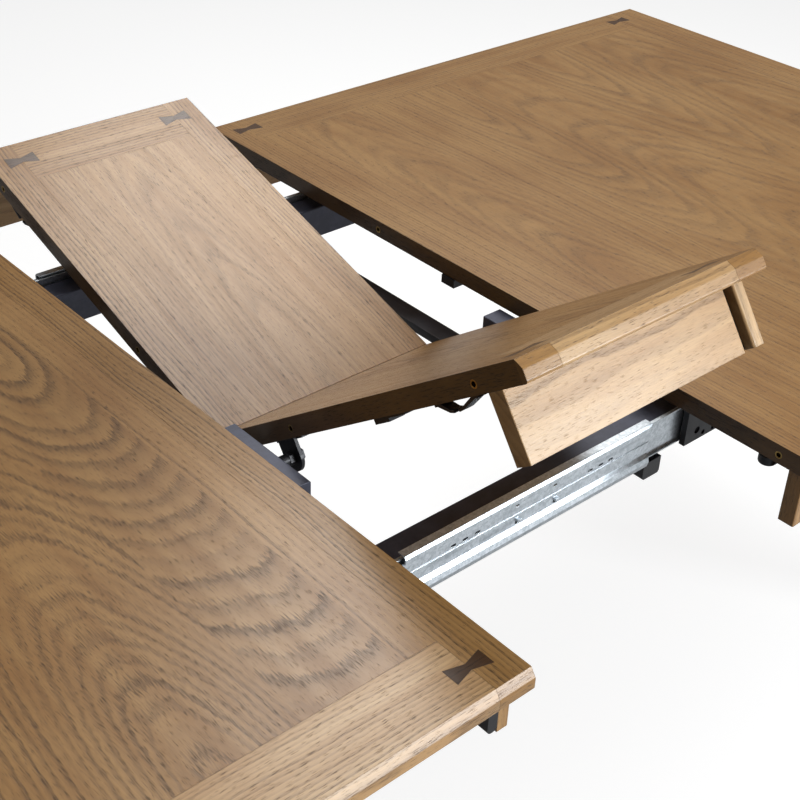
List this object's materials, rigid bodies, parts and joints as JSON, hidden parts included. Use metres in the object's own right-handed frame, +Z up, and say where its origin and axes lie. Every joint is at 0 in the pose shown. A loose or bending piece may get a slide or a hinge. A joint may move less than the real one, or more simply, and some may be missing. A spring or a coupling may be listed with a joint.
{
  "type": "extendable dining table",
  "caption": "Extendable dining table in stained oak, drawn out on steel slides, with its folding butterfly leaf half raised in the gap.",
  "frame": {"origin": "on the floor, under the middle of the table drawn out as it stands at rest", "axes": "+X along the table from half A towards half B, +Y across it towards the wing that lies nearly flat, +Z up"},
  "size_m": [2.2482, 1.0668, 0.9861],
  "materials": {
    "oak_top": "satin stained oak veneer, open pores",
    "oak_border": "satin stained oak",
    "walnut_key": "satin dark walnut",
    "oak_frame": "satin stained oak",
    "black_wood": "black painted hardwood",
    "blue_steel": "dark blue-grey satin paint, scuffed",
    "black_steel": "black satin paint",
    "zinc_steel": "bright galvanised sheet",
    "bright_steel": "polished balls",
    "brass_fitting": "satin brass",
    "black_plastic": "matte black",
    "glide_plastic": "matte nylon"
  },
  "bodies": {
    "half_a": {"field_panel_a": "oak_top", "gap_border_a": "oak_border", "end_border_a": "oak_border", "side_borders_a": "oak_border", "bow_tie_keys_a": "walnut_key", "gap_posts_a": "oak_frame", "side_aprons_a": "oak_frame", "end_apron_a": "oak_frame", "legs_a": "oak_frame", "leg_glides_a": "glide_plastic", "corner_braces_a": "oak_frame", "leg_bolts_a": "zinc_steel", "slide_runners_a": "zinc_steel", "slide_brackets_a": "black_steel", "edge_pins_a": "brass_fitting", "stop_tabs_a": "black_plastic"},
    "mid_frame": {"side_beams": "blue_steel", "cross_battens": "black_wood", "bearing_blocks": "blue_steel", "pivot_bolts": "black_steel", "slide_channels": "zinc_steel", "channel_mounts": "zinc_steel", "slide_balls": "bright_steel"},
    "half_b": {"field_panel_b": "oak_top", "gap_border_b": "oak_border", "end_border_b": "oak_border", "side_borders_b": "oak_border", "bow_tie_keys_b": "walnut_key", "gap_posts_b": "oak_frame", "side_aprons_b": "oak_frame", "end_apron_b": "oak_frame", "legs_b": "oak_frame", "leg_glides_b": "glide_plastic", "corner_braces_b": "oak_frame", "leg_bolts_b": "zinc_steel", "slide_runners_b": "zinc_steel", "slide_brackets_b": "black_steel", "edge_bushes_b": "brass_fitting", "edge_catches": "black_steel"},
    "leaf_near": {"leaf_field_near": "oak_top", "leaf_strips_near": "oak_border", "leaf_border_near": "oak_border", "leaf_keys_near": "walnut_key", "leaf_apron_near": "oak_frame", "leaf_spacer_near": "black_plastic", "leaf_fittings_near": "brass_fitting", "leaf_hooks_near": "black_steel", "hinge_cups_near": "brass_fitting", "pivot_brackets": "black_steel"},
    "leaf_far": {"leaf_field_far": "oak_top", "leaf_strips_far": "oak_border", "leaf_border_far": "oak_border", "leaf_keys_far": "walnut_key", "leaf_apron_far": "oak_frame", "leaf_spacer_far": "black_plastic", "leaf_fittings_far": "brass_fitting", "leaf_hooks_far": "black_steel", "hinge_cups_far": "brass_fitting"},
    "lock_lever_near": {"lock_lever_near": "black_steel"},
    "lock_lever_far": {"lock_lever_far": "black_steel"}
  },
  "joints": [
    {"name": "slide_a", "type": "slide", "parent": "half_a", "child": "mid_frame", "axis": [1, 0, 0], "range_m": [-0.045, 0]},
    {"name": "slide_b", "type": "slide", "parent": "mid_frame", "child": "half_b", "axis": [1, 0, 0], "range_m": [-0.045, 0]},
    {"name": "leaf_pivot", "type": "hinge", "parent": "mid_frame", "child": "leaf_near", "pos_m": [0, -0.13335, 0.72], "axis": [1, 0, 0], "range_deg": [-85, 36.1]},
    {"name": "leaf_fold", "type": "hinge", "parent": "leaf_near", "child": "leaf_far", "pos_m": [0, -0.00074, 0.67553], "axis": [1, 0, 0], "range_deg": [-53.05, 124.84]},
    {"name": "lever_swing_near", "type": "hinge", "parent": "half_b", "child": "lock_lever_near", "pos_m": [0.2437, -0.449, 0.734], "axis": [0, 0, 1], "range_deg": [-90, 0]},
    {"name": "lever_swing_far", "type": "hinge", "parent": "half_b", "child": "lock_lever_far", "pos_m": [0.2437, 0.449, 0.734], "axis": [0, 0, 1], "range_deg": [0, 90]}
  ],
  "couplings": [
    {"joint": "leaf_fold", "follows": "leaf_pivot", "ratio": -1.4681}
  ]
}
